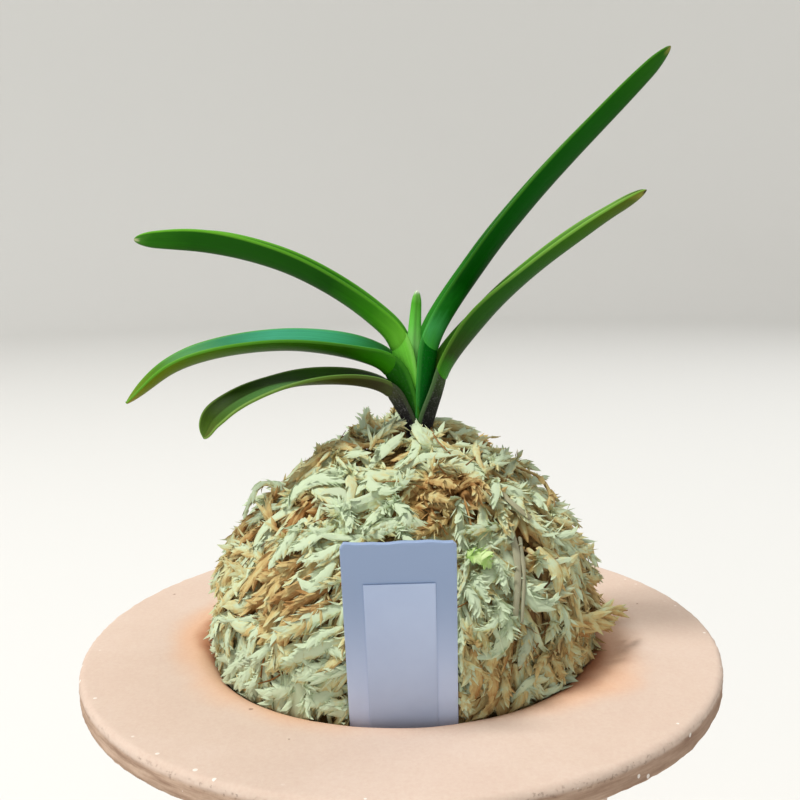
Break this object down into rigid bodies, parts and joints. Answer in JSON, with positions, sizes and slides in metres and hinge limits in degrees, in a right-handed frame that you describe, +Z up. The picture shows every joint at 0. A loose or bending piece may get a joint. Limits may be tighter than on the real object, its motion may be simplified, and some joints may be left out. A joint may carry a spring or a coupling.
{
  "type": "potted wind orchid",
  "caption": "Small wind orchid with a fan of arching folded leaves, on a dome of dried moss in a broad-brimmed clay pot with a blank plant label.",
  "frame": {"origin": "centre of the pot's foot, on the surface it stands on", "axes": "+Z up; +X to the right of someone facing the label; the label stands on the -Y side"},
  "size_m": [0.128, 0.128, 0.2119],
  "materials": {
    "clay": "unglazed, matte, faintly porous",
    "dried_moss": "dry, fibrous, matte",
    "sheath_green": "satin, fine lengthwise ribs",
    "leaf_green": "smooth, waxy, satin",
    "new_leaf_green": "smooth, waxy, satin",
    "label_plastic": "smooth, semi-matte",
    "tape_film": "thin film, satin"
  },
  "bodies": {
    "root": {"pot": "clay", "moss_mound": "dried_moss", "stem_with_sheaths": "sheath_green", "leaf_left_upper": "leaf_green", "leaf_left_middle": "leaf_green", "leaf_left_lower": "leaf_green", "leaf_right_long": "leaf_green", "leaf_right_short": "leaf_green", "leaf_centre_new": "new_leaf_green", "label": "label_plastic", "label_tape": "tape_film"}
  },
  "joints": []
}
